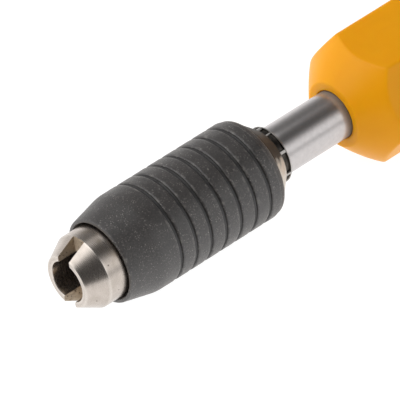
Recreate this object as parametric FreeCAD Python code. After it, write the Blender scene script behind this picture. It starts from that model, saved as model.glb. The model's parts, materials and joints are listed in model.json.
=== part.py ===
import FreeCAD, Part
import math
import os

V = FreeCAD.Vector

# A hand drill: slotted quick-release chuck, polished shaft and a ratchet in a hexagonal handle.
# Units are mm.  X runs along the tool axis from the chuck towards the palm, +Z is up.
# The origin is on the axis, in the seat that a drill shank's cross pin drives against.

# ---- fits and small clearances ----
PRESS_GAP = 0.02          # radial, between pieces fixed to each other
RUN_GAP = 0.05            # radial, between a shaft and the bore it turns or slides in
SLIP_GAP = 0.1            # pieces that are dropped into a pocket
FACE_GAP = 0.05           # between flat faces that meet across a joint
STOP_GAP = 0.1            # left at the end of a stroke

# ---- chuck body ----
SHANK_R = 4.0             # drill shank that the chuck takes
GUIDE_LENGTH = 10.0       # close-fitting stretch of the shank bore
MOUTH_GAP = 0.22          # radial, where the bore is opened out in front of and behind that stretch
NOSE_R = 7.6              # outside of the chuck body
NOSE_RIM_R = 5.34         # outside of the rim, in front of the nose cone
MOUTH_CHAMFER = 0.25
CROSS_PIN_D = 3.0         # cross pin of a drill shank
PIN_SLOT_DEPTH = 4.2
SLOT_TILT = 10.0          # degrees, from +Z towards +Y
SHANK_DEPTH = 22.0        # from the cross pin seat to the bottom of the bore
MAGNET_R = 3.0
MAGNET_LENGTH = 4.0
SPRING_STEP_X = 24.0      # shoulder that the sleeve spring pushes against
BODY_REAR_R = 6.5
SOCKET_FLOOR = 1.0        # steel between the magnet and the shaft
BODY_PIN_R = 1.25

# ---- lock balls ----
BALL_R = 2.25
BALL_X = 12.5
BALL_BITE = 0.8           # how far a locked ball stands into the shank bore
BALL_SEAT_DEPTH = 0.2     # thickness of the lip that keeps a ball from dropping into the bore
BALL_GAP = 0.08           # between a ball and the liner's cam
CAM_SLOPE = 0.2           # radial rise of the cam for each mm of sleeve travel

# ---- sleeve ----
SLEEVE_FRONT_X = 4.0
SLEEVE_REAR_X = 41.7
SLEEVE_R = 10.36
LIP_R = 8.75
LIP_BORE_GAP = 0.45
SHOULDER_X = 10.9
LINER_FRONT_X = 8.0
LINER_R = 9.2
LINER_FLANGE = 2.0
CHAMBER_WALL = 0.65
GROOVE_COUNT = 7
FIRST_GROOVE_X = 15.36
GROOVE_PITCH = 3.76
GROOVE_WIDTH = 0.6
GROOVE_DEPTH = 0.5
SPRING_WIRE = 1.0
SPRING_R = 7.45
SPRING_TURNS = 5.5

# ---- collar and its clip ----
COLLAR_R = 9.36
COLLAR_REAR_R = 6.37
COLLAR_LENGTH = 4.4
COLLAR_LAND = 0.35
CLIP_THICKNESS = 1.1
CLIP_R = 6.0
CLIP_GROOVE_DEPTH = 0.5
CLIP_MOUTH = 2.2
CLIP_MOUTH_ANGLE = 71.0   # degrees, from +Z towards -Y

# ---- shaft ----
SHAFT_R = 5.0
SHAFT_BARE = 16.4         # polished stretch between the clip and the handle
TAIL_R = 4.0
TAIL_FLAT = 3.4           # from the axis to each driving flat
TAIL_OVERHANG = 1.8

# ---- handle ----
HANDLE_AF = 24.16         # across the flats
HANDLE_LENGTH = 90.0
HANDLE_EDGE_R = 1.0
HANDLE_HOLE_R = 5.43
HOLE_EDGE_R = 0.4
FRONT_FACE_R = 6.9
DOME_MID_R = 10.86
DOME_MID_X = 3.75         # behind the front face
DOME_END_X = 7.3
REAR_CONE = 4.0
REAR_FACE_R = 11.3
BUSH_SHOULDER = 4.2       # from the handle's front face to the bush
BUSH_LENGTH = 10.0
BUSH_R = 7.5
POCKET_WALL = 1.9         # handle wall outside the ratchet, at a flat
KEY_WIDTH = 3.0
KEY_HEIGHT = 0.9

# ---- ratchet ----
TOOTH_COUNT = 24
TOOTH_TIP_R = 6.2
TOOTH_ROOT_R = 5.3
WHEEL_WIDTH = 6.0
HOUSING_GAP = 0.4         # round the wheel's teeth
HOUSING_FRONT_WALL = 3.7
WHEEL_SIDE_GAP = 0.3
THRUST_WASHER = 1.15
COVER_WIDTH = 3.0
PAWL_WIDTH = 3.0
PAWL_LENGTH = 5.0
PAWL_TOP_R = 8.3
PAWL_LIFT = 1.0
PAWL_GAP = 0.12           # between the pawl's nose and the teeth at rest
PAWL_SPRING_R = 0.85
PAWL_SPRING_WIRE = 0.3
PAWL_SPRING_TURNS = 4.5
PAWL_SPRING_SEAT = 1.3    # depth of the spring's hole in the pawl
TAIL_CLIP_R = 6.4
TAIL_CLIP_THICKNESS = 0.8
TAIL_CLIP_MOUTH = 3.0

# ---- rear of the handle ----
SPACER_BORE_R = 8.0
PLUG_LENGTH = 10.0
SCREW_THREAD_R = 2.0
SCREW_THREAD_LENGTH = 7.5
SCREW_SHOULDER_R = 3.0
SCREW_HEAD_R = 5.0
SCREW_HEAD = 2.2
HEX_SOCKET_AF = 3.0
WASHER_R = 6.5
WASHER_THICKNESS = 0.8
WASHER_STANDS = 0.3
CAP_LENGTH = 12.0
CAP_R = 12.0
CAP_REAR_R = 6.6
CAP_WEB = 4.5             # plastic under the screw's head
CAP_FLUTES = 12
CAP_FLUTE_R = 1.4
DISC_THICKNESS = 1.4

# ---- worked out from the above ----
NOSE_RIM_X = -PIN_SLOT_DEPTH
BORE_R = SHANK_R + RUN_GAP
MOUTH_R = SHANK_R + MOUTH_GAP
SLOT_WIDTH = CROSS_PIN_D + 2 * RUN_GAP
BALL_REST_R = BORE_R - BALL_BITE + BALL_R
BALL_SEAT_LEVEL = MOUTH_R + BALL_SEAT_DEPTH
BALL_SEAT_R = math.sqrt((BALL_R + RUN_GAP) ** 2 - (BALL_REST_R - BALL_SEAT_LEVEL) ** 2)
SLEEVE_TRAVEL = BALL_BITE / CAM_SLOPE
SOCKET_X = SHANK_DEPTH + MAGNET_LENGTH + SOCKET_FLOOR
LINER_BORE_R = NOSE_R + RUN_GAP
CHAMBER_R = LINER_R - CHAMBER_WALL
FLANGE_X = SLEEVE_REAR_X - LINER_FLANGE
BODY_REAR_X = FLANGE_X - SLEEVE_TRAVEL - STOP_GAP
BODY_PIN_X = (SOCKET_X + BODY_REAR_X) / 2
COLLAR_X = SLEEVE_REAR_X + FACE_GAP
CLIP_X = COLLAR_X + COLLAR_LENGTH + FACE_GAP
GROOVE_R = SHAFT_R - CLIP_GROOVE_DEPTH
HANDLE_X = CLIP_X + CLIP_THICKNESS + SHAFT_BARE
HANDLE_REAR_X = HANDLE_X + HANDLE_LENGTH
BUSH_X = HANDLE_X + BUSH_SHOULDER
HOUSING_X = BUSH_X + BUSH_LENGTH + SLIP_GAP
WHEEL_X = HOUSING_X + HOUSING_FRONT_WALL + WHEEL_SIDE_GAP
WHEEL_REAR_X = WHEEL_X + WHEEL_WIDTH
COVER_X = WHEEL_REAR_X + THRUST_WASHER + 2 * FACE_GAP
SPACER_X = COVER_X + COVER_WIDTH
TAIL_CLIP_X = SPACER_X + STOP_GAP
TAIL_END_X = TAIL_CLIP_X + TAIL_CLIP_THICKNESS + TAIL_OVERHANG
POCKET_R = HANDLE_AF / 2 - POCKET_WALL
HOUSING_R = POCKET_R - SLIP_GAP
PLUG_X = HANDLE_REAR_X - PLUG_LENGTH
CAP_X = HANDLE_REAR_X + WASHER_STANDS
WASHER_X = CAP_X - WASHER_THICKNESS
HEAD_X = CAP_X + CAP_WEB
DISC_X = HEAD_X + SCREW_HEAD + STOP_GAP

AXIS = V(1, 0, 0)
ORIGIN = V(0, 0, 0)
BALL_DIRECTION = V(0, math.cos(math.radians(SLOT_TILT)), -math.sin(math.radians(SLOT_TILT)))


# ---- drawing helpers ----

def corner_arc(before, corner, after, radius):
    """Start, middle and end of the arc that rounds a corner of an outline."""
    towards = (before - corner).normalize()
    away = (after - corner).normalize()
    half = towards.getAngle(away) / 2
    middle = (towards + away).normalize()
    tangent = radius / math.tan(half)
    centre = corner + middle * (radius / math.sin(half))
    return corner + towards * tangent, centre - middle * radius, corner + away * tangent


def outline(points):
    """Closed wire through (x, z) or (x, z, corner radius), in the XZ plane."""
    places = [V(p[0], 0, p[1]) for p in points]
    radii = [p[2] if len(p) > 2 else 0 for p in points]
    edges = []
    ends = []
    for i, place in enumerate(places):
        if radii[i] > 0:
            start, middle, end = corner_arc(places[i - 1], place, places[(i + 1) % len(places)], radii[i])
            ends.append((start, end, Part.Arc(start, middle, end).toShape()))
        else:
            ends.append((place, place, None))
    for i, (start, end, arc) in enumerate(ends):
        if arc:
            edges.append(arc)
        following = ends[(i + 1) % len(ends)][0]
        if end.distanceToPoint(following) > 1e-6:
            edges.append(Part.LineSegment(end, following).toShape())
    return Part.Wire(edges)


def turned(points):
    """Solid of revolution about the tool axis."""
    return Part.Face(outline(points)).revolve(ORIGIN, AXIS, 360)


def ring(x0, x1, outer, inner=0.0, edge=0.0):
    """Round bar or tube from x0 to x1, with its outer edges rounded."""
    return turned([(x0, inner), (x0, outer, edge), (x1, outer, edge), (x1, inner)])


def radial(direction, r0, r1, radius, x):
    """Round bar that stands out from the axis, from r0 to r1."""
    return Part.makeCylinder(radius, r1 - r0, V(x, 0, 0) + direction * r0, direction)


def block(x0, x1, y0, y1, z0, z1):
    return Part.makeBox(x1 - x0, y1 - y0, z1 - z0, V(x0, y0, z0))


def turn(shape, degrees):
    """Copy turned about the tool axis."""
    copy = shape.copy()
    copy.rotate(ORIGIN, AXIS, degrees)
    return copy


def prism(points, x0, x1):
    """Solid with a (y, z) outline, from x0 to x1."""
    wire = Part.makePolygon([V(x0, y, z) for y, z in points + points[:1]])
    return Part.Face(wire).extrude(V(x1 - x0, 0, 0))


def hexagon(across_flats, x0, x1):
    """Hexagonal bar with flats facing +Z and -Z."""
    corner = across_flats / math.sqrt(3)
    corners = [(corner * math.cos(math.radians(60 * i)), corner * math.sin(math.radians(60 * i)))
               for i in range(6)]
    return prism(corners, x0, x1)


def coil(mean_r, wire, turns, length):
    """Compression spring from the origin along +Z.  Its wire is a 12-sided bar of the same area."""
    rise = length - wire
    helix = Part.makeHelix(rise / turns, rise, mean_r)
    helix.translate(V(0, 0, wire / 2))
    step = math.pi / 6
    corner_r = wire / 2 * math.sqrt(step / math.sin(step))
    corners = []
    for i in range(12):
        angle = (i + 0.5) * step
        corners.append(V(mean_r + corner_r * math.cos(angle), 0, wire / 2 + corner_r * math.sin(angle)))
    section = Part.makePolygon(corners + corners[:1])
    return Part.Wire(helix).makePipeShell([section], True, True)


def keys(outer_r, x0, x1, gap):
    """Two bars at +Y and -Y that stop a piece from turning in the handle."""
    half = KEY_WIDTH / 2 + gap
    bar = block(x0, x1, outer_r - 1.0, outer_r + KEY_HEIGHT + gap, -half, half)
    return bar.fuse(turn(bar, 180))


# ---- chuck ----

def chuck_body():
    body = turned([
        (NOSE_RIM_X, MOUTH_R + MOUTH_CHAMFER), (NOSE_RIM_X, NOSE_RIM_R, 0.25), (0, NOSE_R, 0.4),
        (SPRING_STEP_X, NOSE_R, 0.2), (SPRING_STEP_X, BODY_REAR_R), (BODY_REAR_X, BODY_REAR_R, 0.3),
        (BODY_REAR_X, SHAFT_R + PRESS_GAP), (SOCKET_X, SHAFT_R + PRESS_GAP), (SOCKET_X, 0),
        (SHANK_DEPTH + MAGNET_LENGTH, 0), (SHANK_DEPTH + MAGNET_LENGTH, MAGNET_R + PRESS_GAP),
        (SHANK_DEPTH, MAGNET_R + PRESS_GAP), (SHANK_DEPTH, MOUTH_R), (GUIDE_LENGTH, MOUTH_R),
        (GUIDE_LENGTH, BORE_R), (0, BORE_R), (0, MOUTH_R), (NOSE_RIM_X + MOUTH_CHAMFER, MOUTH_R)])
    slot = block(NOSE_RIM_X - 1, 0, -SLOT_WIDTH / 2, SLOT_WIDTH / 2, -2 * NOSE_R, 2 * NOSE_R)
    cuts = [turn(slot, -SLOT_TILT)]
    for side in (BALL_DIRECTION, BALL_DIRECTION * -1):
        cuts.append(radial(side, BALL_SEAT_LEVEL, NOSE_R + 1, BALL_R + BALL_GAP, BALL_X))
        cuts.append(radial(side, BORE_R / 2, NOSE_R, BALL_SEAT_R, BALL_X))
    cuts.append(pin_bar(BODY_REAR_R + 1, PRESS_GAP))
    return body.cut(cuts)


def pin_bar(reach, gap=0.0):
    """The pin that joins the chuck to the shaft, or the hole for it."""
    return turn(Part.makeCylinder(BODY_PIN_R + gap, 2 * reach, V(BODY_PIN_X, 0, -reach)), -SLOT_TILT)


def lock_ball(side):
    return Part.makeSphere(BALL_R, V(BALL_X, 0, 0) + BALL_DIRECTION * (side * BALL_REST_R))


def shank_magnet():
    return ring(SHANK_DEPTH, SHANK_DEPTH + MAGNET_LENGTH, MAGNET_R, edge=0.2)


# ---- sleeve ----

def cam_line_x(radius):
    """Where the liner's cam has the given radius, with the sleeve at rest."""
    contact = BALL_REST_R + BALL_R * math.sqrt(1 + CAM_SLOPE ** 2) + BALL_GAP
    return BALL_X + (radius - contact) / CAM_SLOPE


def sleeve_liner():
    return turned([
        (LINER_FRONT_X, LINER_BORE_R), (LINER_FRONT_X, LINER_R, 0.2), (SLEEVE_REAR_X, LINER_R),
        (SLEEVE_REAR_X, SHAFT_R + RUN_GAP), (FLANGE_X, SHAFT_R + RUN_GAP), (FLANGE_X, CHAMBER_R),
        (cam_line_x(CHAMBER_R), CHAMBER_R), (cam_line_x(LINER_BORE_R), LINER_BORE_R)])


def sleeve_grip():
    points = [(LINER_FRONT_X - PRESS_GAP, LINER_R + PRESS_GAP),
              (LINER_FRONT_X - PRESS_GAP, NOSE_R + LIP_BORE_GAP),
              (SLEEVE_FRONT_X, NOSE_R + LIP_BORE_GAP, 0.15), (SLEEVE_FRONT_X, LIP_R, 0.3),
              (SHOULDER_X, SLEEVE_R, 8.0)]
    for i in range(GROOVE_COUNT):
        middle = FIRST_GROOVE_X + i * GROOVE_PITCH
        points += [(middle - GROOVE_WIDTH / 2, SLEEVE_R, 0.12),
                   (middle - GROOVE_WIDTH / 2, SLEEVE_R - GROOVE_DEPTH, 0.15),
                   (middle + GROOVE_WIDTH / 2, SLEEVE_R - GROOVE_DEPTH, 0.15),
                   (middle + GROOVE_WIDTH / 2, SLEEVE_R, 0.12)]
    points += [(SLEEVE_REAR_X, SLEEVE_R, 0.4), (SLEEVE_REAR_X, LINER_R + PRESS_GAP)]
    return turned(points)


def sleeve_spring():
    spring = coil(SPRING_R, SPRING_WIRE, SPRING_TURNS, FLANGE_X - SPRING_STEP_X - 2 * FACE_GAP)
    spring.rotate(ORIGIN, V(0, 1, 0), 90)
    spring.translate(V(SPRING_STEP_X + FACE_GAP, 0, 0))
    return spring


# ---- collar, clip and shaft ----

def sleeve_collar():
    rear = COLLAR_X + COLLAR_LENGTH
    return turned([
        (COLLAR_X, SHAFT_R + PRESS_GAP), (COLLAR_X, COLLAR_R, 0.15),
        (COLLAR_X + COLLAR_LAND, COLLAR_R), (rear, COLLAR_REAR_R, 0.3), (rear, SHAFT_R + PRESS_GAP)])


def open_ring(x0, thickness, outer, inner, mouth):
    """Snap ring with its mouth facing +Z."""
    slot = block(x0 - 1, x0 + thickness + 1, -mouth / 2, mouth / 2, 0, outer + 1)
    return ring(x0, x0 + thickness, outer, inner, edge=0.15).cut(slot)


def collar_clip():
    clip = open_ring(CLIP_X, CLIP_THICKNESS, CLIP_R, GROOVE_R + PRESS_GAP, CLIP_MOUTH)
    return turn(clip, CLIP_MOUTH_ANGLE)


def tail_clip():
    return open_ring(TAIL_CLIP_X, TAIL_CLIP_THICKNESS, TAIL_CLIP_R,
                     TAIL_R - CLIP_GROOVE_DEPTH + PRESS_GAP, TAIL_CLIP_MOUTH)


def flats(bar, x0, x1, flat):
    """Cut two driving flats across a round bar, facing +Z and -Z."""
    over = block(x0, x1, -TAIL_R - 1, TAIL_R + 1, flat, TAIL_R + 1)
    return bar.cut([over, turn(over, 180)])


def drive_shaft():
    shaft = ring(SOCKET_X + FACE_GAP, WHEEL_X, SHAFT_R, edge=0.3)
    tail = flats(ring(WHEEL_X, WHEEL_REAR_X, TAIL_R), WHEEL_X, WHEEL_REAR_X, TAIL_FLAT)
    journal = ring(WHEEL_REAR_X, TAIL_END_X, TAIL_R, edge=0.3)
    shaft = shaft.fuse([tail, journal])
    clip_slot = ring(CLIP_X - FACE_GAP, CLIP_X + CLIP_THICKNESS + FACE_GAP, SHAFT_R + 1, GROOVE_R)
    tail_slot = ring(TAIL_CLIP_X - FACE_GAP, TAIL_CLIP_X + TAIL_CLIP_THICKNESS + FACE_GAP,
                     TAIL_R + 1, TAIL_R - CLIP_GROOVE_DEPTH)
    return shaft.cut([clip_slot, tail_slot, pin_bar(SHAFT_R + 1, PRESS_GAP)])


def body_pin():
    return pin_bar(BODY_REAR_R - STOP_GAP)


# ---- ratchet ----

def ratchet_wheel():
    points = []
    for i in range(TOOTH_COUNT):
        angle = math.pi / 2 + i * 2 * math.pi / TOOTH_COUNT
        for radius in (TOOTH_ROOT_R, TOOTH_TIP_R):
            points.append((radius * math.cos(angle), radius * math.sin(angle)))
    wheel = prism(points, WHEEL_X + PRESS_GAP, WHEEL_REAR_X)
    hole = ring(WHEEL_X - 1, WHEEL_REAR_X + 1, TAIL_R + PRESS_GAP)
    return wheel.cut(flats(hole, WHEEL_X - 1, WHEEL_REAR_X + 1, TAIL_FLAT + PRESS_GAP))


def pawl():
    """Pawl above the wheel: a block that slides along Z, with one tooth on its nose."""
    pitch = 2 * math.pi / TOOTH_COUNT
    tip = (TOOTH_TIP_R * math.sin(pitch), TOOTH_TIP_R * math.cos(pitch))
    slope = (tip[1] - TOOTH_ROOT_R) / tip[0]
    half = PAWL_WIDTH / 2
    heel = TOOTH_TIP_R + PAWL_GAP
    nose = [(PAWL_GAP, TOOTH_ROOT_R + PAWL_GAP + slope * PAWL_GAP),
            (half, TOOTH_ROOT_R + PAWL_GAP + slope * half),
            (half, PAWL_TOP_R), (-half, PAWL_TOP_R), (-half, heel), (PAWL_GAP, heel)]
    middle = WHEEL_X + WHEEL_WIDTH / 2
    tooth = prism(nose, middle - PAWL_LENGTH / 2, middle + PAWL_LENGTH / 2)
    seat = Part.makeCylinder(PAWL_SPRING_R + PAWL_SPRING_WIRE, PAWL_SPRING_SEAT + 1,
                             V(middle, 0, PAWL_TOP_R - PAWL_SPRING_SEAT))
    return tooth.cut(seat)


def pawl_spring():
    bottom = PAWL_TOP_R - PAWL_SPRING_SEAT + FACE_GAP
    spring = coil(PAWL_SPRING_R, PAWL_SPRING_WIRE, PAWL_SPRING_TURNS, POCKET_R - FACE_GAP * 2 - bottom)
    spring.translate(V(WHEEL_X + WHEEL_WIDTH / 2, 0, bottom))
    return spring


def ratchet_housing():
    inner = TOOTH_TIP_R + HOUSING_GAP
    floor_x = HOUSING_X + HOUSING_FRONT_WALL
    body = turned([(HOUSING_X, SHAFT_R + 3 * RUN_GAP), (HOUSING_X, HOUSING_R, 0.3), (COVER_X, HOUSING_R),
                   (COVER_X, inner), (floor_x, inner), (floor_x, SHAFT_R + 3 * RUN_GAP)])
    body = body.fuse(keys(HOUSING_R, HOUSING_X + 0.5, COVER_X, 0.0))
    middle = WHEEL_X + WHEEL_WIDTH / 2
    half = PAWL_LENGTH / 2 + SLIP_GAP
    slide = block(middle - half, middle + half, -PAWL_WIDTH / 2 - SLIP_GAP, PAWL_WIDTH / 2 + SLIP_GAP,
                  TOOTH_ROOT_R, HOUSING_R + 1)
    return body.cut([slide, turn(slide, 180)])


def thrust_washer():
    return ring(WHEEL_REAR_X + FACE_GAP, COVER_X - FACE_GAP, TOOTH_TIP_R, TAIL_R + RUN_GAP)


def ratchet_cover():
    plate = ring(COVER_X, SPACER_X, HOUSING_R, TAIL_R + RUN_GAP, edge=0.2)
    return plate.fuse(keys(HOUSING_R, COVER_X, SPACER_X - 0.3, 0.0)).cut(
        ring(COVER_X - 1, SPACER_X + 1, TAIL_R + RUN_GAP))


# ---- handle ----

def handle_outside():
    """Hexagonal bar with rounded long edges, turned to a dome in front and a cone behind."""
    bar = hexagon(HANDLE_AF, HANDLE_X, HANDLE_REAR_X)
    long_edges = [e for e in bar.Edges if e.Length > HANDLE_LENGTH - 1]
    bar = bar.makeFillet(HANDLE_EDGE_R, long_edges)
    corner_r = HANDLE_AF / math.sqrt(3) + 0.1
    front = V(HANDLE_X, 0, FRONT_FACE_R)
    dome_end = V(HANDLE_X + DOME_END_X, 0, corner_r)
    rear_start = V(HANDLE_REAR_X - REAR_CONE, 0, corner_r)
    rear_end = V(HANDLE_REAR_X, 0, REAR_FACE_R)
    dome = Part.Arc(front, V(HANDLE_X + DOME_MID_X, 0, DOME_MID_R), dome_end).toShape()
    straight = [dome_end, rear_start, rear_end, V(HANDLE_REAR_X, 0, 0), V(HANDLE_X, 0, 0), front]
    lines = [Part.LineSegment(a, b).toShape() for a, b in zip(straight, straight[1:])]
    envelope = Part.Face(Part.Wire([dome] + lines)).revolve(ORIGIN, AXIS, 360)
    return bar.common(envelope)


def handle_shell():
    hollow = turned([
        (HANDLE_X - 1, 0), (HANDLE_X - 1, HANDLE_HOLE_R + 1), (HANDLE_X, HANDLE_HOLE_R + HOLE_EDGE_R),
        (HANDLE_X + HOLE_EDGE_R, HANDLE_HOLE_R), (BUSH_X, HANDLE_HOLE_R), (BUSH_X, BUSH_R + PRESS_GAP),
        (HOUSING_X - SLIP_GAP, BUSH_R + PRESS_GAP), (HOUSING_X - SLIP_GAP, POCKET_R),
        (HANDLE_REAR_X + 1, POCKET_R), (HANDLE_REAR_X + 1, 0)])
    return handle_outside().cut([hollow, keys(HOUSING_R, HOUSING_X - SLIP_GAP, PLUG_X, SLIP_GAP)])


def front_bush():
    return ring(BUSH_X, BUSH_X + BUSH_LENGTH, BUSH_R, SHAFT_R + RUN_GAP, edge=0.3)


def spacer_tube():
    return ring(SPACER_X, PLUG_X, HOUSING_R, SPACER_BORE_R, edge=0.3)


def rear_plug():
    plug = ring(PLUG_X, HANDLE_REAR_X, POCKET_R - PRESS_GAP, SCREW_THREAD_R + PRESS_GAP, edge=0.3)
    return plug.cut(ring(WASHER_X, HANDLE_REAR_X + 1, WASHER_R + SLIP_GAP))


def cap_screw():
    screw = turned([
        (WASHER_X - SCREW_THREAD_LENGTH, 0), (WASHER_X - SCREW_THREAD_LENGTH, SCREW_THREAD_R, 0.3),
        (WASHER_X, SCREW_THREAD_R), (WASHER_X, SCREW_SHOULDER_R),
        (HEAD_X + FACE_GAP, SCREW_SHOULDER_R), (HEAD_X + FACE_GAP, SCREW_HEAD_R, 0.2),
        (HEAD_X + SCREW_HEAD, SCREW_HEAD_R, 0.3), (HEAD_X + SCREW_HEAD, 0)])
    return screw.cut(hexagon(HEX_SOCKET_AF, HEAD_X + 0.5, HEAD_X + SCREW_HEAD + 1))


def cap_washer():
    return ring(WASHER_X, CAP_X - FACE_GAP, WASHER_R, SCREW_SHOULDER_R + PRESS_GAP)


def palm_cap():
    rear = CAP_X + CAP_LENGTH
    head_hole = SCREW_HEAD_R + 3 * SLIP_GAP
    cap = turned([
        (CAP_X, SCREW_SHOULDER_R + RUN_GAP), (CAP_X, REAR_FACE_R, 0.5), (CAP_X + 3.0, CAP_R, 1.2),
        (CAP_X + 7.0, CAP_R, 4.5), (rear, CAP_REAR_R, 1.0), (rear, head_hole), (HEAD_X, head_hole),
        (HEAD_X, SCREW_SHOULDER_R + RUN_GAP)])
    groove = Part.makeCylinder(CAP_FLUTE_R, CAP_LENGTH, V(CAP_X + 3.2, 0, CAP_R + CAP_FLUTE_R * 0.62), AXIS)
    return cap.cut([turn(groove, i * 360 / CAP_FLUTES) for i in range(CAP_FLUTES)])


def cap_disc():
    return ring(DISC_X + 1.0, DISC_X + 1.0 + DISC_THICKNESS, SCREW_HEAD_R + 3 * SLIP_GAP - PRESS_GAP, edge=0.4)


PIECES = {
    "chuck_body": chuck_body(),
    "lock_ball_a": lock_ball(1),
    "lock_ball_b": lock_ball(-1),
    "shank_magnet": shank_magnet(),
    "sleeve_liner": sleeve_liner(),
    "sleeve_grip": sleeve_grip(),
    "sleeve_spring": sleeve_spring(),
    "sleeve_collar": sleeve_collar(),
    "collar_clip": collar_clip(),
    "drive_shaft": drive_shaft(),
    "body_pin": body_pin(),
    "ratchet_wheel": ratchet_wheel(),
    "thrust_washer": thrust_washer(),
    "tail_clip": tail_clip(),
    "ratchet_housing": ratchet_housing(),
    "ratchet_cover": ratchet_cover(),
    "pawl_upper": pawl(),
    "pawl_lower": turn(pawl(), 180),
    "pawl_spring_upper": pawl_spring(),
    "pawl_spring_lower": turn(pawl_spring(), 180),
    "handle_shell": handle_shell(),
    "front_bush": front_bush(),
    "spacer_tube": spacer_tube(),
    "rear_plug": rear_plug(),
    "cap_screw": cap_screw(),
    "cap_washer": cap_washer(),
    "palm_cap": palm_cap(),
    "cap_disc": cap_disc(),
}

os.makedirs("parts", exist_ok=True)
for name, shape in PIECES.items():
    box = shape.BoundBox
    print(f"{name}: {len(shape.Solids)} solid, valid {shape.isValid()}, volume {shape.Volume:.1f} mm3, "
          f"x {box.XMin:.2f} to {box.XMax:.2f}")
    shape.exportStep(f"parts/{name}.step")
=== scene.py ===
import json
import math

import bmesh
import bpy
from mathutils import Matrix, Vector, noise


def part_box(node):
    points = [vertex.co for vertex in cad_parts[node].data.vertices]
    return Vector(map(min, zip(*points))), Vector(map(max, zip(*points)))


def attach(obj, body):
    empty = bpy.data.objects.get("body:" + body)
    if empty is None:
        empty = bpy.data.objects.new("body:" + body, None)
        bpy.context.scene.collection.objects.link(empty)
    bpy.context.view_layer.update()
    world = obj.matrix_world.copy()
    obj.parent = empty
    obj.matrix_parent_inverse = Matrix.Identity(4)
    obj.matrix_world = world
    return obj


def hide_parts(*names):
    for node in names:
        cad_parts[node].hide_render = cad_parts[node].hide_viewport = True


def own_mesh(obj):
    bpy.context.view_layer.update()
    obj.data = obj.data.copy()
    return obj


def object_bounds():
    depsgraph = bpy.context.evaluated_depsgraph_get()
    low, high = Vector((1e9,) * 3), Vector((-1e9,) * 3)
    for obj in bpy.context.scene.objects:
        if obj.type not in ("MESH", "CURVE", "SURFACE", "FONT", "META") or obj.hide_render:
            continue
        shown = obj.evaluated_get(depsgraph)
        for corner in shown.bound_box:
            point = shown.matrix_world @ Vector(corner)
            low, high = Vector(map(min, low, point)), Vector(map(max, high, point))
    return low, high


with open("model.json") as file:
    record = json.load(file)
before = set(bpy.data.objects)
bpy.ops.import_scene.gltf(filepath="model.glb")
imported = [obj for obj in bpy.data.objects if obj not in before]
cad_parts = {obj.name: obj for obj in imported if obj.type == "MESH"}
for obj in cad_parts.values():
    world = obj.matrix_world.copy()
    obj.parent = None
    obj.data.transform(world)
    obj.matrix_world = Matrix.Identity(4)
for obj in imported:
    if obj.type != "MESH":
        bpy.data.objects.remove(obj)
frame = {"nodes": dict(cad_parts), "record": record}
cad_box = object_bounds()

# A hand drill lying on one flat of its handle.  Shapes are worked out in millimetres, with X along
# the tool axis from the chuck to the palm cap, and become metres when a mesh is made.
MM = 0.001


def span(node):
    """Where a piece starts and ends along the tool axis, and its radius, in mm."""
    low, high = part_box(node)
    return low.x / MM, high.x / MM, (high.z - low.z) / 2 / MM


NOSE_X, BODY_END_X, NOSE_R = span("chuck_body")
SLEEVE_X, SLEEVE_END_X, SLEEVE_R = span("sleeve_grip")
LINER_X, _, LINER_R = span("sleeve_liner")
COLLAR_X, COLLAR_END_X, COLLAR_R = span("sleeve_collar")
CLIP_X, CLIP_END_X, CLIP_R = span("collar_clip")
SHAFT_X, SHAFT_END_X, SHAFT_R = span("drive_shaft")
HANDLE_X, HANDLE_END_X, HANDLE_HALF_AF = span("handle_shell")
BUSH_X, _, BUSH_R = span("front_bush")
HOUSING_X, _, _ = span("ratchet_housing")
CAP_X, CAP_END_X, CAP_R = span("palm_cap")
DISC_X, DISC_END_X, DISC_R = span("cap_disc")
BORE = next(m for m in frame["record"]["mounts"] if m["name"] == "shank_bore")
BORE_R = BORE["dims"]["r_mm"]

# sizes that show, in mm
NOSE_RIM_R = 5.34
MOUTH_R = BORE_R + 0.17
SLOT_WIDTH = 3.1
SLOT_TILT = 10.0
LIP_R = 8.75
LIP_BORE_R = NOSE_R + 0.45
SHOULDER_X = 10.9
GROOVE_COUNT = 7
FIRST_GROOVE_X = 15.36
GROOVE_PITCH = 3.76
GROOVE_WIDTH = 0.74
GROOVE_DEPTH = 0.5
REAR_STEP_X = 40.45
REAR_RIM_R = 10.12
COLLAR_REAR_R = 6.2
CLIP_MOUTH_ANGLE = 71.0
HOLE_R = SHAFT_R + 0.07
FACE_R = 6.9
DOME_MID = (3.75, 10.86)
DOME_END = 7.3
REAR_CONE = 4.0
REAR_FACE_R = 11.3
POCKET_R = HANDLE_HALF_AF - 1.9
HANDLE_TURNED_R = 14.05
BORE_END_X = 22.0
BODY_STEP_X = 24.0
BODY_REAR_R = 6.5
SHAFT_SOCKET_X = 27.0
MAGNET_HOLE_R = 3.02
LUG_PITCH = 48.0
CAP_HOLE_R = 3.05
CAP_WELL_R = 5.3
CAP_WELL_X = CAP_X + 4.5
FLUTE_START_X = CAP_X + 2.8
FLUTE_COUNT = 12
AXIS_R = 0.001            # radius of the pinhole that stands for the axis


# ---- mesh helpers ----

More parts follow.
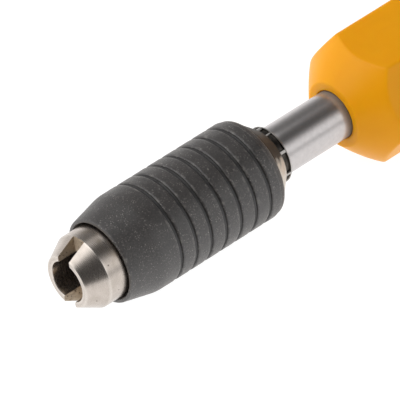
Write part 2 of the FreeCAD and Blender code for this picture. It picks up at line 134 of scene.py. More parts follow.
def rounded(points, steps=4):
    """Points (x, r) of an outline whose corners (x, r, radius) are rounded.  Each point also carries
    1 where it lies on a rounded corner and 0 elsewhere."""
    made = []
    for i, point in enumerate(points):
        here = Vector(point[:2])
        radius = point[2] if len(point) > 2 else 0
        if not radius:
            made.append((here.x, here.y, 0.0))
            continue
        towards = (Vector(points[i - 1][:2]) - here).normalized()
        away = (Vector(points[(i + 1) % len(points)][:2]) - here).normalized()
        half = towards.angle(away) / 2
        centre = here + (towards + away).normalized() * (radius / math.sin(half))
        first = here + towards * (radius / math.tan(half)) - centre
        last = here + away * (radius / math.tan(half)) - centre
        begin = math.atan2(first.y, first.x)
        sweep = (math.atan2(last.y, last.x) - begin + math.pi) % (2 * math.pi) - math.pi
        count = max(steps, int(radius * abs(sweep) / 0.4))
        for k in range(count + 1):
            angle = begin + sweep * k / count
            edge = 1.0 if radius < 1 else 0.0
            made.append((centre.x + radius * math.cos(angle),
                         centre.y + radius * math.sin(angle), edge))
    return made


def divided(outline, spacing):
    """The same closed outline with its long stretches divided."""
    made = []
    for i, (x, r, edge) in enumerate(outline):
        nx, nr, next_edge = outline[(i + 1) % len(outline)]
        made.append((x, r, edge))
        count = int(math.hypot(nx - x, nr - r) / spacing)
        for k in range(1, count + 1):
            share = k / (count + 1)
            made.append((x + (nx - x) * share, r + (nr - r) * share, 0.0))
    return made


def closed_grid(name, rows, sides, edges):
    """Mesh through rings of points, closed both ways, with a value for worn edges on each ring."""
    mesh = bpy.data.meshes.new(name)
    verts = [Vector(p) * MM for ring in rows for p in ring]
    faces = []
    for j in range(len(rows)):
        this, following = j * sides, (j + 1) % len(rows) * sides
        for i in range(sides):
            k = (i + 1) % sides
            faces.append((this + i, this + k, following + k, following + i))
    mesh.from_pydata(verts, [], faces)
    worn = mesh.attributes.new("worn", "FLOAT", "POINT")
    worn.data.foreach_set("value", [e for e in edges for _ in range(sides)])
    outward(mesh)
    return bpy.data.objects.new(name, mesh)


def outward(mesh):
    """Turn the faces of a closed mesh so that they face out."""
    work = bmesh.new()
    work.from_mesh(mesh)
    bmesh.ops.recalc_face_normals(work, faces=work.faces)
    work.to_mesh(mesh)
    work.free()


def turned(name, points, sides=256, spacing=0.6, steps=4, ripple=None):
    """Turned piece: a closed outline swept round the tool axis.  ripple(x, r, angle) adds to r."""
    outline = divided(rounded(points, steps), spacing)
    rows = []
    for x, r, edge in outline:
        ring = []
        for i in range(sides):
            angle = 2 * math.pi * i / sides
            radius = r + (ripple(x, r, angle) if ripple else 0)
            ring.append((x, radius * math.sin(angle), radius * math.cos(angle)))
        rows.append(ring)
    return closed_grid(name, rows, sides, [p[2] for p in outline])


def solid(name, obj, smooth_below=35):
    """Bake an object's modifiers into its mesh and shade it smooth except at corners."""
    if obj.name not in bpy.context.scene.collection.objects:
        bpy.context.scene.collection.objects.link(obj)
    bpy.context.view_layer.update()
    baked = obj.evaluated_get(bpy.context.evaluated_depsgraph_get())
    mesh = bpy.data.meshes.new_from_object(baked)
    obj.modifiers.clear()
    obj.data = mesh
    obj.name = mesh.name = name
    mesh.shade_smooth()
    mesh.set_sharp_from_angle(angle=math.radians(smooth_below))
    return obj


def place(obj, body, slot, finish, *nodes):
    """Put a piece on its body, in place of the CAD nodes that it stands for."""
    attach(obj, body)
    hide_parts(*nodes)
    obj.data.materials.clear()
    obj.data.materials.append(finish)


def grain(x, y, z, scale):
    """Smooth noise from -1 to 1, with features about scale mm across."""
    return noise.noise(Vector((x / scale, y / scale, z / scale)))


# ---- shader helpers ----

class Value:
    """A shader value.  Sums, products and powers of values add the Math nodes for them."""

    def __init__(self, finish, socket):
        self.finish = finish
        self.socket = socket

    def math(self, operation, first, second=0.0, clamp=False):
        settings = {"operation": operation, "use_clamp": clamp}
        return self.finish.node("ShaderNodeMath", settings, {0: first, 1: second})

    def __add__(self, other):
        return self.math("ADD", self, other)

    def __sub__(self, other):
        return self.math("SUBTRACT", self, other)

    def __mul__(self, other):
        return self.math("MULTIPLY", self, other)

    def __truediv__(self, other):
        return self.math("DIVIDE", self, other)

    def __pow__(self, other):
        return self.math("POWER", self, other)

    def __radd__(self, other):
        return self.math("ADD", other, self)

    def __rsub__(self, other):
        return self.math("SUBTRACT", other, self)

    def __rmul__(self, other):
        return self.math("MULTIPLY", other, self)

    def step(self, low, high):
        """0 below low, 1 above high, and a straight ramp between."""
        return self.math("DIVIDE", self - low, high - low, clamp=True)


class Shading:
    """A node tree, with one short way to make its nodes."""

    def __init__(self, owner):
        owner.use_nodes = True
        self.tree = owner.node_tree

    def node(self, kind, settings=None, inputs=None, output=0):
        """Any node: its settings first, then the values or links of its sockets."""
        made = self.tree.nodes.new(kind)
        for key, value in (settings or {}).items():
            if key == "stops":
                self.set_stops(made.color_ramp, value)
            else:
                setattr(made, key, value)
        for key, value in (inputs or {}).items():
            self.join(value, made.inputs[key])
        return Value(self, made.outputs[output])

    def join(self, value, socket):
        if isinstance(value, Value):
            self.tree.links.new(value.socket, socket)
        else:
            socket.default_value = value

    def set_stops(self, ramp, stops):
        while len(ramp.elements) < len(stops):
            ramp.elements.new(0.5)
        for element, (place_at, colour) in zip(ramp.elements, stops):
            element.position = place_at
            element.color = (*colour, 1.0)

    def parts(self, vector):
        """The three numbers of a vector."""
        x = self.node("ShaderNodeSeparateXYZ", None, {0: vector}, "X")
        outputs = x.socket.node.outputs
        return x, Value(self, outputs["Y"]), Value(self, outputs["Z"])

    def turn_from_up(self, y, z):
        """Angle about X in radians, from straight up towards the -Y side."""
        return self.node("ShaderNodeMath", {"operation": "ARCTAN2"}, {0: 0.0 - y, 1: z})

    def ramp(self, level, stops):
        """Colour for a level from 0 to 1, through (level, colour) stops."""
        return self.node("ShaderNodeValToRGB", {"stops": stops}, {0: level})

    def blend(self, share, first, second):
        """Colour that goes from first to second."""
        made = self.node("ShaderNodeMix", {"data_type": "RGBA"}).socket.node
        colours = [s for s in made.inputs if s.type == "RGBA"]
        self.join(share, made.inputs["Factor"])
        for value, socket in zip((first, second), colours):
            self.join((*value, 1.0) if isinstance(value, tuple) else value, socket)
        return Value(self, next(s for s in made.outputs if s.type == "RGBA"))


class Finish(Shading):
    """A material, with short ways to make the marks on it."""

    def __init__(self, name, **surface):
        self.material = bpy.data.materials.new(name)
        super().__init__(self.material)
        self.shader = self.tree.nodes["Principled BSDF"]
        for socket, value in surface.items():
            self.shader.inputs[socket.replace("_", " ")].default_value = value

    def set(self, **links):
        for name, value in links.items():
            self.join(value, self.shader.inputs[name.replace("_", " ")])

    def position(self, stretch=(1.0, 1.0, 1.0)):
        """Place in the piece in millimetres, stretched for directional marks."""
        place_at = self.node("ShaderNodeTexCoord", output="Object")
        scale = tuple(s / MM for s in stretch)
        return self.node("ShaderNodeMapping", {"vector_type": "POINT"},
                         {"Vector": place_at, "Scale": scale})

    def along(self):
        """Distance along the tool axis, in millimetres."""
        return self.parts(self.position())[0]

    def round_axis(self):
        """Angle about the tool axis in degrees, from straight up towards the -Y side."""
        x, y, z = self.parts(self.position())
        return self.turn_from_up(y, z) * (180 / math.pi)

    def from_axis(self):
        """Distance from the tool axis, in millimetres."""
        x, y, z = self.parts(self.position())
        return (y ** 2 + z ** 2) ** 0.5

    def noise(self, size, detail=4.0, roughness=0.55, stretch=(1.0, 1.0, 1.0), distortion=0.0):
        """Noise from 0 to 1 with features about size mm across."""
        return self.node("ShaderNodeTexNoise", None, {
            "Vector": self.position(stretch), "Scale": 1.0 / size, "Detail": detail,
            "Roughness": roughness, "Distortion": distortion})

    def cells(self, size):
        """Distance to the nearest of scattered points about size mm apart."""
        return self.node("ShaderNodeTexVoronoi", None, {
            "Vector": self.position(), "Scale": 1.0 / size}, "Distance")

    def specks(self, size, share):
        """1 in small round specks that fill about the given share of the surface."""
        spots = 1.0 - self.cells(size).step(0.12, 0.22)
        chosen = self.noise(size * 2.3, detail=1.0).step(0.72 - share, 0.76 - share)
        return spots * chosen

    def bump(self, height, depth, under=None):
        """Bump normal for a height from 0 to 1 that stands depth mm high."""
        inputs = {"Height": height, "Distance": depth * MM}
        if under:
            inputs["Normal"] = under
        return self.node("ShaderNodeBump", None, inputs)

    def attribute(self, name):
        return self.node("ShaderNodeAttribute", {"attribute_name": name}, output="Fac")


# ---- finishes ----

def nose_steel():
    """Turned steel, finely ringed, with a few pits, and brown darkening by the sleeve lip on its upper
    side: partly a stain, partly painted shade.
    """
    steel = Finish("nose_steel", Metallic=1.0, IOR=2.4)
    rings = steel.noise(0.09, detail=3.0, stretch=(1.0, 0.03, 0.03))
    brushed = steel.noise(0.35, detail=5.0, stretch=(1.0, 0.25, 0.25))
    patches = steel.noise(2.4, detail=5.0, roughness=0.65)
    x = steel.along()
    near_lip = x.step(0.6, SLEEVE_X + 0.4) * patches.step(0.42, 0.62)
    pits = steel.specks(0.8, 0.10)
    colour = steel.blend(patches.step(0.35, 0.7), (0.60, 0.535, 0.485), (0.50, 0.445, 0.395))
    # brown darkening near the sleeve lip, kept to the upper side only: partly a stain, partly painted
    # shade
    above = steel.round_axis().step(62.0, 30.0)
    colour = steel.blend(near_lip * above * 0.7, colour, (0.30, 0.21, 0.12))
    colour = steel.blend(pits * 0.8, colour, (0.12, 0.09, 0.07))
    colour = steel.blend(steel.attribute("worn") * 0.45, colour, (0.80, 0.74, 0.68))
    steel.set(Base_Color=colour, Roughness=0.17 + rings * 0.10 + patches * 0.10 + pits * 0.3)
    fine = steel.bump(rings, 0.0022)
    steel.set(Normal=steel.bump(brushed, 0.004, under=steel.bump(1.0 - pits, 0.03, under=fine)))
    return steel.material


def broached_steel():
    """Tan, rough steel on the walls and floor of the cross pin slot."""
    steel = Finish("broached_steel", Metallic=0.6, IOR=1.8)
    patches = steel.noise(0.7, detail=5.0, roughness=0.7)
    pits = steel.specks(0.75, 0.34)
    colour = steel.blend(patches.step(0.3, 0.7), (0.66, 0.55, 0.42), (0.34, 0.26, 0.18))
    colour = steel.blend(pits, colour, (0.03, 0.022, 0.015))
    steel.set(Base_Color=colour, Roughness=0.35 + patches * 0.3)
    steel.set(Normal=steel.bump(patches, 0.05, under=steel.bump(1.0 - pits, 0.08)))
    return steel.material


def turned_steel():
    """Turned steel of the collar, warmer and duller than the nose, with painted shade over its upper side.
    """
    steel = Finish("turned_steel", IOR=1.45, Specular_IOR_Level=0.2)
    rings = steel.noise(0.12, detail=3.0, stretch=(1.0, 0.04, 0.04))
    patches = steel.noise(1.8, detail=5.0, roughness=0.6)
    colour = steel.blend(patches.step(0.35, 0.68), (0.80, 0.76, 0.70), (0.66, 0.60, 0.52))
    # painted shade: from about 110 degrees towards +Y, over the top, to about 44 degrees towards -Y, with
    # a ragged edge, the collar is made nearly black and less metallic
    angle = steel.round_axis() + (patches - 0.5) * 50
    painted_shade_side = angle.step(60.0, 44.0) * angle.step(-150.0, -110.0)
    colour = steel.blend(painted_shade_side * 0.97, colour, (0.034, 0.027, 0.021))
    steel.set(Base_Color=colour, Roughness=0.38 + rings * 0.12 + patches * 0.12,
              Metallic=0.45 - painted_shade_side * 0.43)
    steel.set(Normal=steel.bump(rings, 0.004))
    return steel.material


def polished_steel():
    """Ground and polished bar, with a dark, duller ring where it enters the handle: partly grease, partly
    painted shade of the hole.
    """
    steel = Finish("polished_steel", Metallic=1.0, IOR=2.5)
    haze = steel.noise(0.8, detail=5.0, roughness=0.6)
    scratches = steel.noise(0.10, detail=2.0, stretch=(1.0, 0.06, 0.06))
    x = steel.along()
    # dark, duller ring just before the handle face: partly grease, partly painted shade of the hole
    grease_and_shade = x.step(HANDLE_X - 1.7, HANDLE_X - 0.5)
    colour = steel.blend(haze.step(0.3, 0.7), (0.615, 0.585, 0.58), (0.55, 0.525, 0.52))
    colour = steel.blend(grease_and_shade * 0.8, colour, (0.10, 0.094, 0.09))
    steel.set(Base_Color=colour, Roughness=0.25 + haze * 0.06 + scratches * 0.03 + grease_and_shade * 0.3)
    steel.set(Metallic=1.0 - grease_and_shade * 0.65)
    steel.set(Normal=steel.bump(scratches, 0.0006, under=steel.bump(haze, 0.003)))
    return steel.material


def oiled_steel():
    """Dark oiled spring steel."""
    steel = Finish("oiled_steel", Metallic=1.0, IOR=2.2)
    patches = steel.noise(0.8, detail=5.0)
    colour = steel.blend(patches.step(0.35, 0.7), (0.20, 0.185, 0.165), (0.33, 0.30, 0.26))
    steel.set(Base_Color=colour, Roughness=0.28 + patches * 0.2)
    steel.set(Normal=steel.bump(steel.noise(0.15), 0.004))
    return steel.material


def ringed_clip_steel(wall):
    """Dark oiled spring steel that is rubbed bright on its lugs and rim."""
    steel = Finish("clip_steel", Metallic=1.0, IOR=2.2)
    patches = steel.noise(0.6, detail=5.0)
    rubbed = steel.from_axis().step(wall + 0.12, wall + 0.3)
    colour = steel.blend(patches.step(0.35, 0.7), (0.055, 0.05, 0.045), (0.10, 0.09, 0.08))
    steel.set(Base_Color=steel.blend(rubbed, colour, (0.46, 0.44, 0.42)),
              Roughness=0.25 + patches * 0.15)
    steel.set(Normal=steel.bump(patches, 0.004))
    return steel.material


def black_grip():
    """Matt black moulded sleeve, dusty on its lands, rubbed pale on its edges, with painted shade in its
    grooves.
    """
    grip = Finish("black_grip", IOR=1.85, Sheen_Weight=0.32, Sheen_Roughness=0.35,
                  Sheen_Tint=(1.0, 0.94, 0.88, 1.0))
    skin = grip.noise(0.32, detail=6.0, roughness=0.7)
    cloud = grip.noise(3.2, detail=4.0)
    lint = grip.specks(0.75, 0.20)
    worn = grip.attribute("worn")
    scuff = grip.noise(1.1, detail=5.0, stretch=(0.5, 1.0, 1.0)).step(0.52, 0.75)
    dots = 1.0 - grip.cells(0.34).step(0.14, 0.28)
    dust = dots * grip.noise(0.6, detail=2.0).step(0.40, 0.54)
    rear = grip.along().step(SLEEVE_END_X - 1.2, SLEEVE_END_X - 0.4)
    colour = grip.blend(cloud.step(0.35, 0.65), (0.0150, 0.0118, 0.0105), (0.024, 0.0192, 0.0172))
    colour = grip.blend(skin.step(0.46, 0.66) * 0.45, colour, (0.092, 0.079, 0.073))
    colour = grip.blend(dust * cloud.step(0.30, 0.55) * 0.9, colour, (0.30, 0.265, 0.245))
    colour = grip.blend(worn * scuff * 0.6, colour, (0.24, 0.22, 0.20))
    colour = grip.blend(rear * 0.5, colour, (0.085, 0.06, 0.045))
    colour = grip.blend(lint * 0.5, colour, (0.30, 0.28, 0.26))
    x = grip.along()
    # painted shade: the groove bottoms, more than about 0.2 to 0.42 mm below the lands, are made nearly
    # black
    groove_shade = grip.from_axis().step(SLEEVE_R - 0.2, SLEEVE_R - 0.42)
    groove_shade = groove_shade * x.step(SHOULDER_X + 3, SHOULDER_X + 3.5) * x.step(REAR_STEP_X, REAR_STEP_X - 0.1)
    colour = grip.blend(groove_shade * 0.85, colour, (0.005, 0.004, 0.004))
    grip.set(Base_Color=colour, Roughness=0.36 + skin * 0.24 - worn * 0.05)
    grip.set(Normal=grip.bump(skin, 0.07, under=grip.bump(lint, 0.04)))
    return grip.material


def yellow_moulding():
    """Orange-yellow moulded plastic, half glossy, with faint flow marks and scuffs."""
    skin = Finish("yellow_moulding", IOR=1.49, Specular_IOR_Level=0.16, Subsurface_Weight=0.2,
                  Subsurface_Scale=0.003, Subsurface_Radius=(1.0, 0.5, 0.1), Coat_Roughness=0.3)
    flow = skin.noise(7.0, detail=3.0, distortion=0.6)
    fine = skin.noise(0.22, detail=4.0)
    scuffs = skin.noise(1.4, detail=6.0, roughness=0.7, stretch=(0.35, 1.0, 1.0)).step(0.60, 0.80)
    colour = skin.blend(flow.step(0.3, 0.7), (0.88, 0.355, 0.001), (0.905, 0.375, 0.002))
    colour = skin.blend(scuffs * 0.10, colour, (0.93, 0.53, 0.10))
    skin.set(Base_Color=colour, Roughness=0.36 + fine * 0.10 + scuffs * 0.15,
             Coat_Weight=0.06 - scuffs * 0.05)
    skin.set(Normal=skin.bump(fine, 0.012, under=skin.bump(flow, 0.02)))
    return skin.material


def black_moulding():
    """Spark-textured black plastic of the palm cap."""
    skin = Finish("black_moulding", IOR=1.5)
    fine = skin.noise(0.25, detail=5.0, roughness=0.7)
    cloud = skin.noise(4.0)
    worn = skin.attribute("worn")
    colour = skin.blend(cloud.step(0.35, 0.65), (0.022, 0.022, 0.023), (0.035, 0.034, 0.034))
    colour = skin.blend(worn * fine.step(0.4, 0.6) * 0.5, colour, (0.10, 0.10, 0.10))
    skin.set(Base_Color=colour, Roughness=0.42 + fine * 0.2)
    skin.set(Normal=skin.bump(fine, 0.03))
    return skin.material


def plain_metal(name, pale, dark, roughness, size=1.0, metallic=1.0):
    """Metal of an inner piece, mottled between two shades."""
    metal = Finish(name, Metallic=metallic)
    patches = metal.noise(size, detail=5.0, roughness=0.6)
    fine = metal.noise(size * 0.15, detail=3.0)
    metal.set(Base_Color=metal.blend(patches.step(0.35, 0.65), pale, dark))
    metal.set(Roughness=roughness + fine * 0.15, Normal=metal.bump(fine, 0.006 * size))
    return metal.material


def plain_moulding(name, pale, dark):
    """Plastic of an inner piece."""
    return plain_metal(name, pale, dark, 0.45, 2.0, metallic=0.0)


FINISHES = {
    "nose_steel": nose_steel(),
    "hard_steel": plain_metal("hard_steel", (0.56, 0.56, 0.57), (0.44, 0.44, 0.46), 0.18),
    "magnet": plain_metal("magnet_plating", (0.70, 0.70, 0.71), (0.60, 0.60, 0.62), 0.10),
    "turned_steel": turned_steel(),
    "black_grip": black_grip(),
    "spring_steel": oiled_steel(),
    "polished_steel": polished_steel(),
    "bronze": plain_metal("bronze", (0.60, 0.38, 0.16), (0.45, 0.27, 0.11), 0.35),
    "cast_zinc": plain_metal("cast_zinc", (0.56, 0.56, 0.58), (0.42, 0.42, 0.44), 0.40, 1.6),
    "yellow_plastic": yellow_moulding(),
    "grey_plastic": plain_moulding("grey_moulding", (0.22, 0.22, 0.23), (0.17, 0.17, 0.18)),
    "white_plastic": plain_moulding("white_nylon", (0.82, 0.82, 0.80), (0.74, 0.74, 0.71)),
    "black_plastic": black_moulding(),
}
BROACHED = broached_steel()


# ---- pieces ----

def slot_cutter(width, x0, x1, reach):
    """Block with rough side walls that leaves a broached slot across the nose."""
    cutter = bpy.data.meshes.new("slot_cutter")
    along = [x0 + (x1 - x0) * i / 30 for i in range(31)]
    up = [-reach + 2 * reach * i / 140 for i in range(141)]
    verts = []
    for side in (-1, 1):
        for x in along:
            for z in up:
                ridges = 0.055 * grain(x * 0.6, side * 5, z, 0.42) + 0.035 * grain(x, side, z, 0.17)
                floor = 0.05 * grain(side, z, 3.0, 0.5) if x == x1 else 0
                verts.append(Vector((x + floor, side * (width / 2 + ridges), z)) * MM)
    rows, columns = len(along), len(up)
    faces = []
    for i in range(rows - 1):
        for j in range(columns - 1):
            a = i * columns + j
            faces.append((a, a + 1, a + columns + 1, a + columns))
            b = a + rows * columns
            faces.append((b, b + columns, b + columns + 1, b + 1))
    rim = [j for j in range(columns)] + [i * columns + columns - 1 for i in range(1, rows)]
    rim += [(rows - 1) * columns + j for j in range(columns - 2, -1, -1)]
    rim += [i * columns for i in range(rows - 2, 0, -1)]
    other = rows * columns
    for a, b in zip(rim, rim[1:] + rim[:1]):
        faces.append((a, other + a, other + b, b))
    cutter.from_pydata(verts, [], faces)
    outward(cutter)
    cutter.transform(Matrix.Rotation(math.radians(-SLOT_TILT), 4, "X"))
    return bpy.data.objects.new("slot_cutter", cutter)


def nose():
    """Chuck body: turned steel nose with the cross pin slot."""
    points = [(NOSE_X, MOUTH_R, 0.22), (NOSE_X, NOSE_RIM_R, 0.12), (0.0, NOSE_R, 0.1),
              (BODY_STEP_X, NOSE_R, 0.2), (BODY_STEP_X, BODY_REAR_R), (BODY_END_X, BODY_REAR_R, 0.3),
              (BODY_END_X, SHAFT_R + 0.02), (SHAFT_SOCKET_X, SHAFT_R + 0.02),
              (SHAFT_SOCKET_X, MAGNET_HOLE_R), (BORE_END_X, MAGNET_HOLE_R), (BORE_END_X, MOUTH_R)]
    body = turned("chuck_nose", points, sides=288, spacing=0.5)
    body.data.materials.append(FINISHES["nose_steel"])
    body.data.materials.append(BROACHED)
    cutter = slot_cutter(SLOT_WIDTH, NOSE_X - 1, 0.0, NOSE_R + 2)
    cutter.data.materials.append(FINISHES["nose_steel"])
    cutter.data.materials.append(BROACHED)
    for face in cutter.data.polygons:
        face.material_index = 1
    bpy.context.scene.collection.objects.link(cutter)
    cut = body.modifiers.new("slot", "BOOLEAN")
    cut.object = cutter
    cut.solver = "EXACT"
    soften = body.modifiers.new("edges", "BEVEL")
    soften.width = 0.05 * MM
    soften.segments = 2
    soften.angle_limit = math.radians(40)
    solid("chuck_nose", body)
    bpy.data.objects.remove(cutter)
    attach(body, "shaft")
    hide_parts("chuck_body")
    return body


def grip():
    """Ribbed sleeve: a coned front, seven grooves and a rounded rear rim."""
    bore = LINER_R + 0.02
    points = [(LINER_X - 0.02, bore), (LINER_X - 0.02, LIP_BORE_R), (SLEEVE_X, LIP_BORE_R, 0.12),
              (SLEEVE_X, LIP_R, 0.32), (SHOULDER_X, SLEEVE_R, 8.0)]
    for i in range(GROOVE_COUNT):
        middle = FIRST_GROOVE_X + i * GROOVE_PITCH
        for x, depth, radius in ((-GROOVE_WIDTH / 2, 0, 0.34), (-GROOVE_WIDTH / 2, GROOVE_DEPTH, 0.12),
                                 (GROOVE_WIDTH / 2, GROOVE_DEPTH, 0.12), (GROOVE_WIDTH / 2, 0, 0.34)):
            points.append((middle + x, SLEEVE_R - depth, radius))
    points += [(REAR_STEP_X, SLEEVE_R, 0.2), (REAR_STEP_X + 0.1, REAR_RIM_R, 0.05),
               (SLEEVE_END_X, REAR_RIM_R, 0.4), (SLEEVE_END_X, bore)]

    def uneven(x, r, angle):
        y, z = r * math.sin(angle), r * math.cos(angle)
        if r < bore + 0.2:
            return 0.0
        return 0.015 * grain(x, y, z, 1.3) - 0.02 + 0.008 * grain(x, y, z, 0.35)

    sleeve = turned("ribbed_sleeve", points, sides=360, spacing=0.35, ripple=uneven)
    solid("ribbed_sleeve", sleeve, 50)
    place(sleeve, "sleeve", "black_grip", FINISHES["black_grip"], "sleeve_grip")
    return sleeve


def collar():
    """Steel cone behind the sleeve."""
    bore = SHAFT_R + 0.02
    rear = COLLAR_END_X - 0.5
    points = [(COLLAR_X, bore), (COLLAR_X, COLLAR_R, 0.12), (COLLAR_X + 0.35, COLLAR_R, 0.1),
              (rear, COLLAR_REAR_R, 0.25), (rear, bore)]
    cone = turned("steel_collar", points, spacing=0.4)
    solid("steel_collar", cone)
    place(cone, "shaft", "turned_steel", FINISHES["turned_steel"], "sleeve_collar")
    return cone


def clip():
    """Retaining ring with narrow lugs, and a thin rim next to the shaft."""
    low = SHAFT_R - 0.46
    wall = CLIP_R - 0.5
    rim_x = CLIP_END_X - 0.24
    front = COLLAR_END_X - 0.45
    points = [(front, low), (front, wall, 0.05), (rim_x, wall, 0.05), (rim_x, CLIP_R - 0.06, 0.05),
              (CLIP_END_X, CLIP_R - 0.06, 0.1), (CLIP_END_X, low)]

    def lugs(x, r, angle):
        if r < wall - 0.1 or x > rim_x - 0.04:
            return 0.0
        turn = (-math.degrees(angle) - CLIP_MOUTH_ANGLE) % LUG_PITCH
        away = min(turn, LUG_PITCH - turn)
        return 0.42 * max(0.0, min(1.0, (4.2 - away) / 1.2))

    ring = turned("lugged_clip", points, sides=480, spacing=0.2, ripple=lugs)
    solid("lugged_clip", ring)
    place(ring, "shaft", "spring_steel", ringed_clip_steel(wall), "collar_clip")
    return ring


def bar():
    """Polished shaft, with the groove of the clip and the stepped tail."""
    groove_r = SHAFT_R - 0.5
    tail_r = 4.0
    tail_groove = (92.3, 93.2, tail_r - 0.5)
    shoulder = 82.0
    points = [(SHAFT_X, AXIS_R), (SHAFT_X, SHAFT_R, 0.3), (CLIP_X - 0.05, SHAFT_R, 0.08),
              (CLIP_X - 0.05, groove_r), (CLIP_END_X + 0.05, groove_r), (CLIP_END_X + 0.05, SHAFT_R, 0.12),
              (shoulder, SHAFT_R, 0.3), (shoulder, tail_r), (tail_groove[0], tail_r),
              (tail_groove[0], tail_groove[2]), (tail_groove[1], tail_groove[2]), (tail_groove[1], tail_r),
              (SHAFT_END_X, tail_r, 0.3), (SHAFT_END_X, AXIS_R)]
    shaft = turned("polished_shaft", points, spacing=1.5)
    solid("polished_shaft", shaft)
    return shaft


def dome_radius(x):
    """Radius of the turned envelope of the handle at a distance behind its front face."""
    first, middle, last = Vector((0, FACE_R)), Vector(DOME_MID), Vector((DOME_END, HANDLE_TURNED_R))
    a, b = middle - first, last - first
    d = 2 * (a.x * b.y - a.y * b.x)
    centre = first + Vector(((b.y * a.length_squared - a.y * b.length_squared) / d,
                             (a.x * b.length_squared - b.x * a.length_squared) / d))
    radius = (first - centre).length
    side = 1 if first.y > centre.y else -1
    behind = HANDLE_END_X - HANDLE_X - x
    rear = REAR_FACE_R + (HANDLE_TURNED_R - REAR_FACE_R) * min(1.0, behind / REAR_CONE)
    front = HANDLE_TURNED_R
    if x < DOME_END:
        front = centre.y + side * math.sqrt(max(0.0, radius ** 2 - (x - centre.x) ** 2))
    return min(front, rear)


def soft_least(values, softness):
    """The least of several values, rounded over where two are nearly equal."""
    least = min(values)
    return least - softness * math.log(sum(math.exp((least - v) / softness) for v in values))


def hex_radius(angle):
    """Distance from the axis to the hexagon, which has flats at the top and bottom."""
    flats = []
    for i in range(6):
        facing = math.cos(angle - math.radians(60 * i))
        if facing > 0.4:
            flats.append(HANDLE_HALF_AF / facing)
    return soft_least(flats, 0.2)


def handle():
    """Hexagonal handle with a domed front, a clearance hole and its inner pockets."""
    sides = 360
    hexagon = [hex_radius(2 * math.pi * i / sides) for i in range(sides)]
    length = HANDLE_END_X - HANDLE_X
    stations = [0.02 + 0.16 * i for i in range(70)]
    x = stations[-1]
    while x < length - REAR_CONE - 3:
        x += 0.8
        stations.append(x)
    while x < length - 0.2:
        x += 0.16
        stations.append(min(x, length - 0.05))
    rows = []

    def ring(x, radius):
        turns = [2 * math.pi * i / sides for i in range(sides)]
        rows.append([(x, radius * math.sin(turn), radius * math.cos(turn)) for turn in turns])

    def outer(station):
        envelope = dome_radius(station)
        row = []
        for i, flat in enumerate(hexagon):
            angle = 2 * math.pi * i / sides
            radius = soft_least((flat, envelope), 0.16)
            y, z = radius * math.sin(angle), radius * math.cos(angle)
            radius -= 0.02 + 0.018 * grain(station, y, z, 6.0)
            row.append((HANDLE_X + station, radius * math.sin(angle), radius * math.cos(angle)))
        rows.append(row)

    for k in range(6):
        turn = math.radians(90 * k / 5)
        ring(HANDLE_X + 0.4 - 0.4 * math.sin(turn), HOLE_R + 0.4 - 0.4 * math.cos(turn))
    ring(HANDLE_X, (HOLE_R + FACE_R) / 2)
    ring(HANDLE_X, FACE_R - 0.35)
    for station in stations:
        outer(station)
    for radius in (REAR_FACE_R - 0.4, POCKET_R + 0.1, POCKET_R):
        ring(HANDLE_END_X, radius)
    ring(HOUSING_X - 0.1, POCKET_R)
    ring(HOUSING_X - 0.1, BUSH_R + 0.02)
    ring(BUSH_X, BUSH_R + 0.02)
    ring(BUSH_X, HOLE_R)
    shell = closed_grid("hex_handle", rows, sides, [0.0] * len(rows))
    solid("hex_handle", shell, 50)
    place(shell, "handle", "yellow_plastic", FINISHES["yellow_plastic"], "handle_shell")
    return shell


def cap():
    """Domed palm cap with finger flutes."""
    points = [(CAP_X, CAP_HOLE_R), (CAP_X, REAR_FACE_R, 0.5), (CAP_X + 3.0, CAP_R, 1.2),
              (CAP_X + 7.0, CAP_R, 4.5), (CAP_END_X, 6.6, 1.0), (CAP_END_X, CAP_WELL_R),
              (CAP_WELL_X, CAP_WELL_R), (CAP_WELL_X, CAP_HOLE_R)]

    def fluted(x, r, angle):
        if r < 7 or x < FLUTE_START_X:
            return 0.0
        depth = 0.5 * max(0.0, math.cos(FLUTE_COUNT * angle)) ** 3
        return -depth * min(1.0, (x - FLUTE_START_X) / 1.5) - 0.01

    knob = turned("fluted_cap", points, sides=360, spacing=0.4, steps=8, ripple=fluted)
    solid("fluted_cap", knob, 50)
    place(knob, "palm_cap", "black_plastic", FINISHES["black_plastic"], "palm_cap")
    return knob


def cover_disc():
    """Plain, slightly dished disc in the end of the palm cap."""
    points = [(DISC_X, AXIS_R), (DISC_X, DISC_R, 0.1), (DISC_END_X, DISC_R, 0.4), (DISC_END_X - 0.25, 2.2),
              (DISC_END_X - 0.25, AXIS_R)]
    disc = turned("end_disc", points, sides=128, spacing=0.5)
    solid("end_disc", disc)
    place(disc, "palm_cap", "black_plastic", FINISHES["black_plastic"], "cap_disc")
    return disc


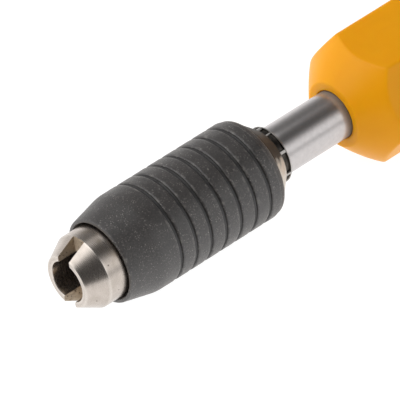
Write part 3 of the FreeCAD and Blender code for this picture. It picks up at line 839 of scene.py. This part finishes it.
def spring(node, body, axis, wire, turns, travel):
    """Compression spring in place of a CAD one, coiled along the given axis."""
    low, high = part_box(node)
    low, high = low / MM, high / MM
    middle = (low + high) / 2
    along = 0 if axis == "X" else 2
    length = high[along] - low[along]
    mean_r = (high.y - low.y - wire) / 2
    sides, steps = 12, int(turns * 36)
    mesh = bpy.data.meshes.new(node)
    verts = []
    for i in range(steps + 1):
        angle = 2 * math.pi * turns * i / steps
        rise = low[along] + wire / 2 + (length - wire) * i / steps
        for k in range(sides):
            spoke = 2 * math.pi * k / sides
            radius = mean_r + wire / 2 * math.cos(spoke)
            level = rise + wire / 2 * math.sin(spoke)
            a, b = radius * math.cos(angle), radius * math.sin(angle)
            point = (middle.x + a, middle.y + b, level)
            if along == 0:
                point = (level, middle.y + a, middle.z + b)
            verts.append(Vector(point) * MM)
    faces = [tuple(range(sides)), tuple(range(steps * sides, steps * sides + sides))]
    for i in range(steps):
        for k in range(sides):
            a, b = i * sides + k, i * sides + (k + 1) % sides
            faces.append((a, b, b + sides, a + sides))
    mesh.from_pydata(verts, [], faces)
    outward(mesh)
    coil = solid(node + "_coil", bpy.data.objects.new(node, mesh))
    place(coil, body, "spring_steel", FINISHES["spring_steel"], node)
    foot = middle.copy()
    foot[along] = low.x if along == 0 else (high.z if high.z > 0 else low.z)
    foot * MM
    1 - travel / length
    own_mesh(coil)


def finish_cad_nodes():
    """Give every node that is still shown its own finish."""
    slots = {s["node"]: s["material_slot"] for s in frame["record"]["subparts"]}
    for name, obj in frame["nodes"].items():
        obj.data.materials.clear()
        obj.data.materials.append(FINISHES[slots[name]])


# ---- stage ----

def floor():
    """Plain pale bench top under the handle's lower flat. It glows, with a painted pool of light round the
    tool that dims to 0.78 between 80 and 420 mm out.
    """
    low = cad_box[0][2]
    mesh = bpy.data.meshes.new("floor")
    half = 3.0
    mesh.from_pydata([(-half, -half, low), (half, -half, low), (half, half, low), (-half, half, low)],
                     [], [(0, 1, 2, 3)])
    plane = bpy.data.objects.new("floor", mesh)
    bpy.context.scene.collection.objects.link(plane)
    top = Finish("floor_paint", Roughness=0.9, Specular_IOR_Level=0.0, Emission_Strength=0.96)
    x, y, z = top.parts(top.position())
    # painted pool of light: the floor's glow is full near the tool and dims further out
    far = ((x - 40.0) ** 2 + y ** 2) ** 0.5
    grey = top.noise(30.0) * 0.02 + 0.18
    glow_pool = top.blend(far.step(80.0, 420.0), (1.0, 1.0, 1.0), (0.78, 0.78, 0.78))
    top.set(Emission_Color=glow_pool, Base_Color=top.blend(grey, (0.0, 0.0, 0.0), (1.0, 1.0, 1.0)))
    plane.data.materials.append(top.material)


# brightness of the room at angles from straight up towards the -Y side, beside and behind the tool...
BESIDE = ((-180, 0.9), (-105, 1.0), (-88, 0.85), (-72, 0.42), (-56, 0.20), (-40, 0.17), (-22, 0.17),
          (-8, 0.15), (2, 0.11), (12, 0.08), (24, 0.10), (31, 0.20), (38, 0.42), (46, 0.85), (56, 1.12),
          (73, 1.18), (78, 0.62), (90, 0.58), (95, 0.9))
# ...and in front of it, where the camera stands in a dark gap
AHEAD = ((-180, 0.9), (-95, 0.8), (-60, 1.0), (-22, 1.9), (-5, 1.6), (8, 0.4), (18, 0.10), (38, 0.06),
         (86, 0.07), (94, 0.12), (102, 0.7))
SOFT_FILL = 0.5           # extra share of the room's light that falls on dull surfaces


def studio():
    """Dim tabletop studio: long softboxes beside the tool, and a bright card in front of it."""
    world = bpy.data.worlds.new("studio")
    room = Shading(world)
    way = room.node("ShaderNodeTexCoord", output="Generated")
    x, y, z = room.parts(way)
    level = room.turn_from_up(y, z) / (2 * math.pi) + 0.5

    def grey(stops):
        return [(degrees / 360 + 0.5, (value,) * 3) for degrees, value in stops]

    beside = room.ramp(level, grey(BESIDE))
    ahead = room.ramp(level, grey(AHEAD))
    back = room.tree.nodes["Background"]
    room.join(room.blend((0.0 - x).step(-0.15, 0.15), beside, ahead), back.inputs["Color"])
    diffuse = room.node("ShaderNodeLightPath", output="Is Diffuse Ray")
    room.join(diffuse * SOFT_FILL + 1.0, back.inputs["Strength"])
    bpy.context.scene.world = world


def small_softbox():
    """Small soft light over the chuck, which gives its upper side a second, weaker highlight."""
    light = bpy.data.lights.new("small_softbox", "AREA")
    light.shape = "RECTANGLE"
    light.size = 0.075
    light.size_y = 0.055
    light.energy = 0.55 * math.pi * light.size * light.size_y
    way = Vector((0.4955, 0.297, 0.816)).normalized()
    lamp = bpy.data.objects.new("small_softbox", light)
    lamp.location = way * 0.2
    lamp.rotation_euler = way.to_track_quat("Z", "Y").to_euler()
    bpy.context.scene.collection.objects.link(lamp)


def camera():
    """Long lens from in front, above and to the left of the chuck."""
    middle = Vector((29.05, -0.164766, -0.1302)) * MM
    towards = Vector((-0.4955, -0.5385, 0.6815)).normalized()
    right = Vector((0.7359, -0.6771, 0.0)).normalized()
    up = towards.cross(right)
    distance = 1.1235955
    data = bpy.data.cameras.new("camera")
    data.sensor_width = 36.0
    data.lens = 540.0
    data.clip_end = 20.0
    eye = bpy.data.objects.new("camera", data)
    turn = Matrix((right, up, towards)).transposed().to_4x4()
    eye.matrix_world = Matrix.Translation(middle + towards * distance) @ turn
    bpy.context.scene.collection.objects.link(eye)
    bpy.context.scene.camera = eye


finish_cad_nodes()
nose()
grip()
collar()
clip()
place(bar(), "shaft", "polished_steel", FINISHES["polished_steel"], "drive_shaft")
handle()
cap()
cover_disc()
spring("sleeve_spring", "shaft", "X", 1.0, 5.5, 4.0)
spring("pawl_spring_upper", "handle", "Z", 0.3, 4.5, 1.0)
spring("pawl_spring_lower", "handle", "Z", 0.3, 4.5, 1.0)
floor()
studio()
small_softbox()
camera()
bpy.context.scene.view_settings.view_transform = "Standard"
